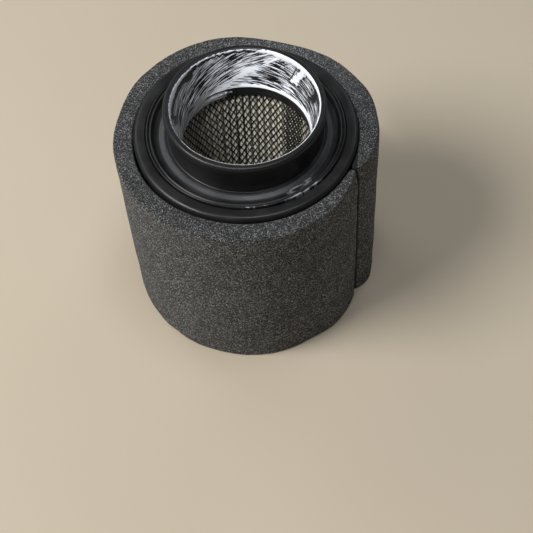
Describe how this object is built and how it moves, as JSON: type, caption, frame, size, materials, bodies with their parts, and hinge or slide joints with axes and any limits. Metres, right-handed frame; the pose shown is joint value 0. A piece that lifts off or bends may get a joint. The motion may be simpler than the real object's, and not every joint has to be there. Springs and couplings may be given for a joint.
{
  "type": "air filter element",
  "caption": "Round pleated air filter element with expanded-metal liners, soft moulded end caps, a short seal neck and a wrapped foam pre-cleaner sleeve that lifts off.",
  "frame": {"origin": "centre of the closed end cap's flat face, which the element stands on", "axes": "+Z along the element's axis, from the closed end to the seal neck; +X to the right and +Y to the back, with the foam's glued seam at the front right"},
  "size_m": [0.1143, 0.1136, 0.1131],
  "materials": {
    "urethane": "soft satin black moulded urethane",
    "liner_mesh": "black-coated expanded metal",
    "filter_paper": "matt cream pleated paper",
    "clip_steel": "plain folded steel strip",
    "foam": "charcoal open-cell foam",
    "seam_glue": "dark flexible glue line"
  },
  "bodies": {
    "element": {"top_cap": "urethane", "bottom_cap": "urethane", "inner_liner": "liner_mesh", "outer_liner": "liner_mesh", "pleated_media": "filter_paper", "pleat_clip": "clip_steel"},
    "precleaner": {"foam_sleeve": "foam", "seam_bond": "seam_glue"}
  },
  "joints": [
    {"name": "precleaner_lift", "type": "slide", "parent": "element", "child": "precleaner", "axis": [0, 0, 1], "range_m": [0, 0.118]}
  ]
}
